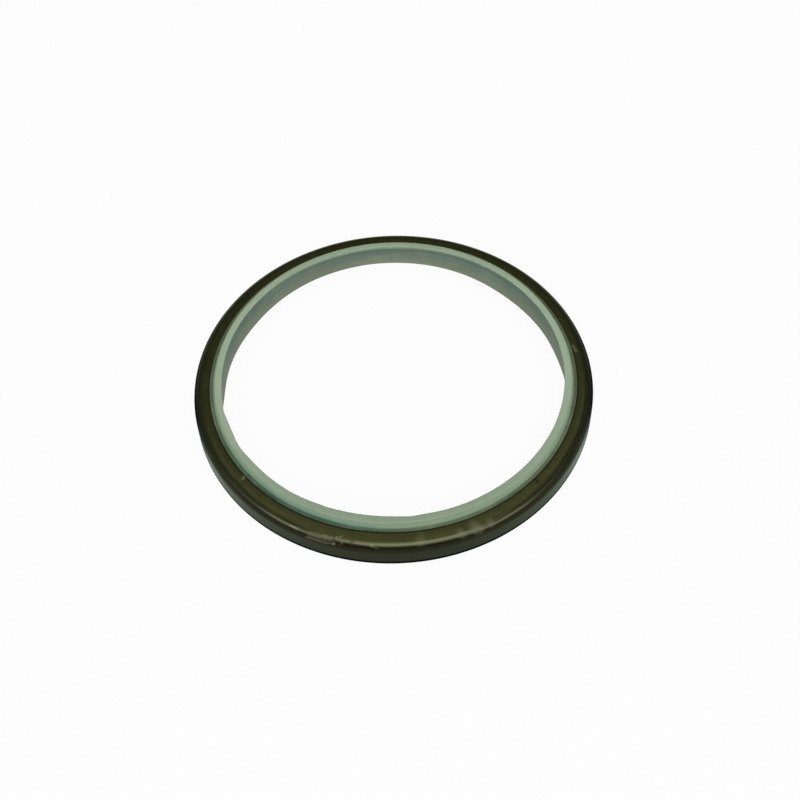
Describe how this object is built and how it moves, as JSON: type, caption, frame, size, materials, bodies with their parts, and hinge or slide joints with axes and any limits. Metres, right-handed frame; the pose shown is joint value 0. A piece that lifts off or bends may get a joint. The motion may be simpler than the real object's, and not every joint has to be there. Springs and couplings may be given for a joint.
{
  "type": "radial shaft seal",
  "caption": "Ring seal with a pressed steel case that fits in a housing bore, and a moulded polyurethane ring with two lips, one wiping and one gripping the pin or shaft.",
  "frame": {"origin": "on the seal's axis, in the plane of the case's rim that the seal stands on", "axes": "+Z along the axis, from the rim of the case towards the flange and the wiping lip; X and Y are free, because the seal is round"},
  "size_m": [0.0992, 0.0992, 0.0089],
  "materials": {
    "coated_steel": "satin",
    "polyurethane": "satin"
  },
  "bodies": {
    "root": {"steel_case": "coated_steel", "lip_ring": "polyurethane"}
  },
  "joints": []
}
